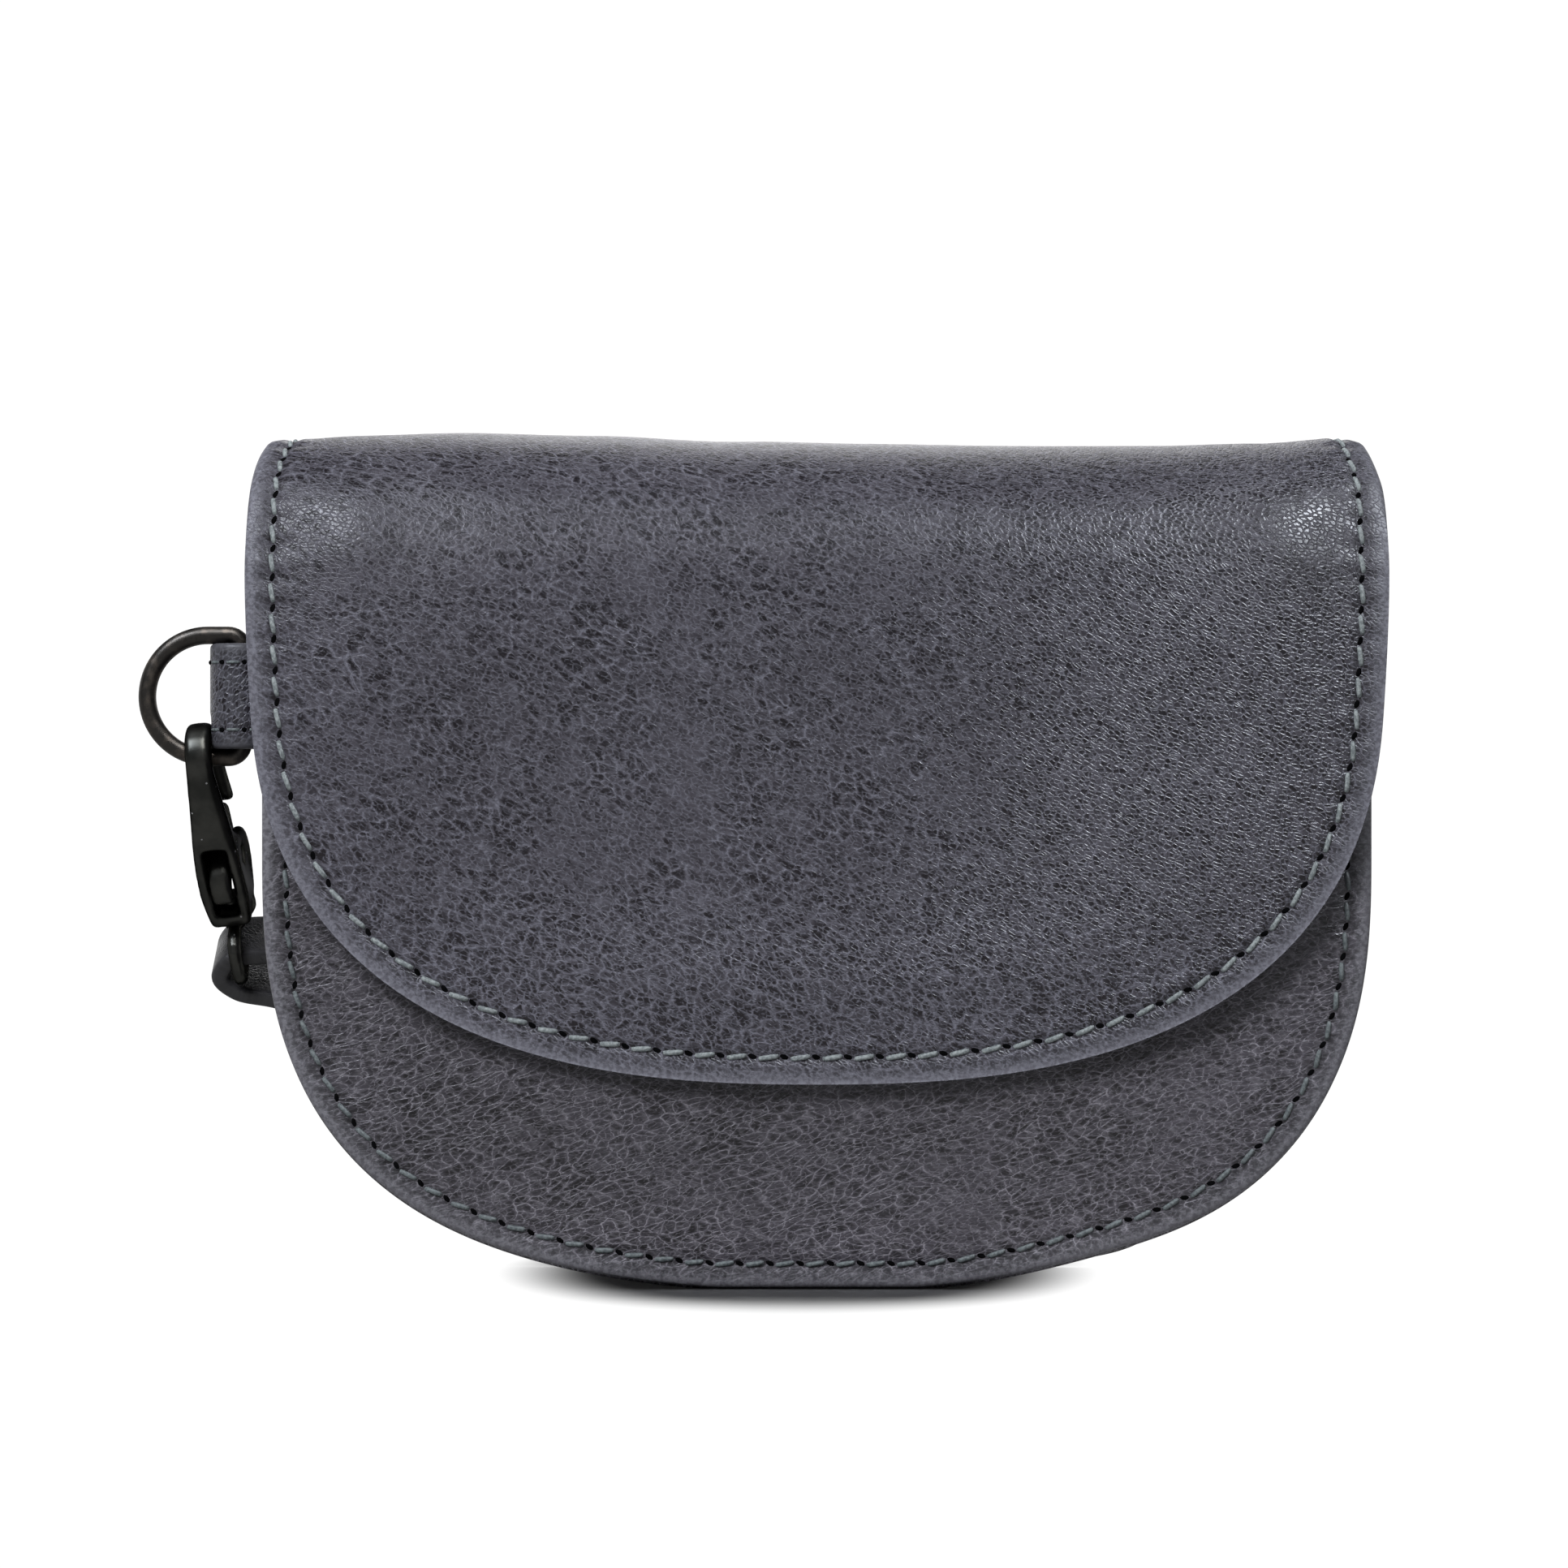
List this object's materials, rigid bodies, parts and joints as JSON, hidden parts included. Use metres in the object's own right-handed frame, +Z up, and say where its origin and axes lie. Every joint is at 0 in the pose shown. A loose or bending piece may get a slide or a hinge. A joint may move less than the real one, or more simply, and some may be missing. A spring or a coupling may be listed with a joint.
{
  "type": "leather wristlet",
  "caption": "Small upright leather pouch with a rounded flap over a curved front, a side D-ring, and a leather wrist loop on a trigger snap hook with a swivel.",
  "frame": {"origin": "middle of the footprint of the whole object, on the floor that it stands on", "axes": "+X to the right as the flap is seen from the front, +Y to the back, +Z up; the ring, clasp and wrist loop are on the -X side"},
  "size_m": [0.1684, 0.0512, 0.1148],
  "materials": {
    "leather": "dark slate grey pebbled leather with a soft worn sheen",
    "panel_leather": "dark slate grey leather, finely creased, a little darker than the flap",
    "ring_metal": "dark bronze plated wire, worn on the outside of the bends",
    "clasp_metal": "glossy gunmetal plated casting"
  },
  "bodies": {
    "bag": {"back_flap": "leather", "front_panel": "panel_leather", "gusset": "panel_leather", "snap_button": "clasp_metal", "ring_tab": "leather", "d_ring": "ring_metal", "clasp_hook": "clasp_metal", "lever_pin": "clasp_metal", "swivel": "clasp_metal", "wrist_strap": "leather"},
    "lever": {"clasp_lever": "clasp_metal"}
  },
  "joints": [
    {"name": "lever_rock", "type": "hinge", "parent": "bag", "child": "lever", "pos_m": [-0.0738, 0.00875, 0.05698], "axis": [0.994, -0.0453, 0.0992], "range_deg": [0, 25], "stiffness_Nm_per_rad": 0.03, "springref_deg": -20.05}
  ]
}
